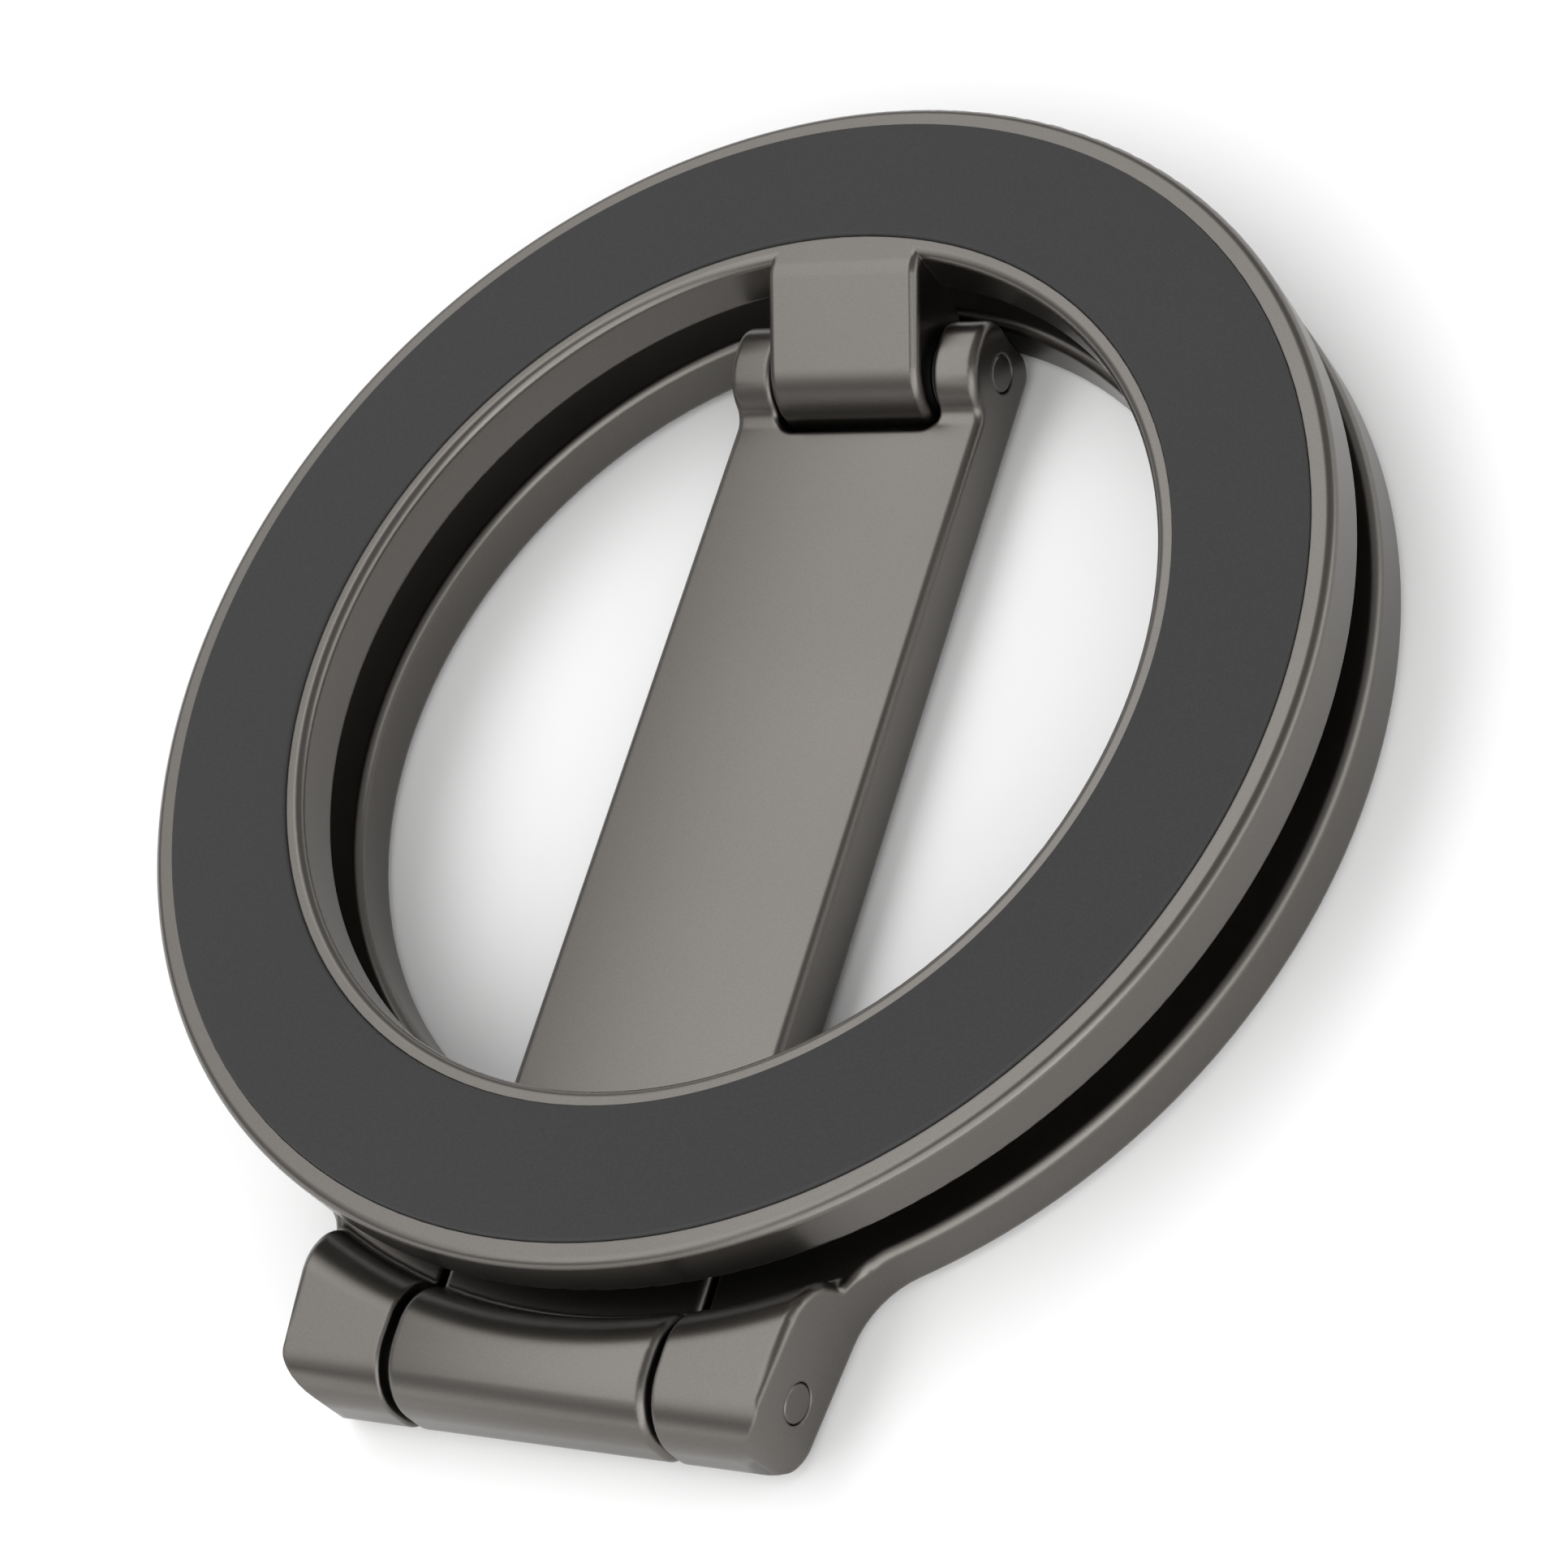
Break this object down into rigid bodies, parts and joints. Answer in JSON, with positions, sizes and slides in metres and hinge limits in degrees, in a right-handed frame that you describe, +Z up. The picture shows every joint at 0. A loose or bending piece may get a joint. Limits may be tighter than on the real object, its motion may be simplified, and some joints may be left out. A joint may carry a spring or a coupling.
{
  "type": "phone ring holder",
  "caption": "Folding magnetic ring holder for a phone: a padded magnetic ring and a base ring joined by a flat arm with a friction hinge at each end, folded flat.",
  "frame": {"origin": "middle of the underside of the whole object, on the surface that the base foot stands on", "axes": "+Z up out of the pad, +Y from the lower hinge to the upper hinge, +X along both hinge pins"},
  "size_m": [0.058, 0.0634, 0.0082],
  "materials": {
    "metal": "fine satin, warm gunmetal grey",
    "pad": "fine matte, dark grey",
    "foot": "matte",
    "film": "adhesive film",
    "magnet": "nickel plated",
    "yoke": "bare steel",
    "pin": "satin, coloured like the rings",
    "sleeve": "spring steel, greased",
    "washer": "thin dark plastic washer"
  },
  "bodies": {
    "base": {"base_ring": "metal", "base_film": "film", "base_foot": "foot", "lower_pin": "pin", "lower_washer_left": "washer", "lower_washer_right": "washer"},
    "arm": {"arm": "metal", "lower_sleeve_left": "sleeve", "lower_sleeve_right": "sleeve", "upper_pin": "pin", "upper_washer_left": "washer", "upper_washer_right": "washer"},
    "head": {"head_ring": "metal", "head_yoke_ring": "yoke", "head_film": "film", "head_pad": "pad", "upper_sleeve_left": "sleeve", "upper_sleeve_right": "sleeve", "head_magnet_01": "magnet", "head_magnet_02": "magnet", "head_magnet_03": "magnet", "head_magnet_04": "magnet", "head_magnet_05": "magnet", "head_magnet_06": "magnet", "head_magnet_07": "magnet", "head_magnet_08": "magnet", "head_magnet_09": "magnet", "head_magnet_10": "magnet", "head_magnet_11": "magnet", "head_magnet_12": "magnet", "head_magnet_13": "magnet", "head_magnet_14": "magnet", "head_magnet_15": "magnet", "head_magnet_16": "magnet"}
  },
  "joints": [
    {"name": "arm_lift", "type": "hinge", "parent": "base", "child": "arm", "pos_m": [0, -0.02892, 0.00265], "axis": [1, 0, 0], "range_deg": [0, 100]},
    {"name": "head_tilt", "type": "hinge", "parent": "arm", "child": "head", "pos_m": [0, 0.02038, 0.00265], "axis": [1, 0, 0], "range_deg": [-160, 0]}
  ],
  "couplings": [
    {"joint": "head_tilt", "follows": "arm_lift", "ratio": -1.6}
  ]
}
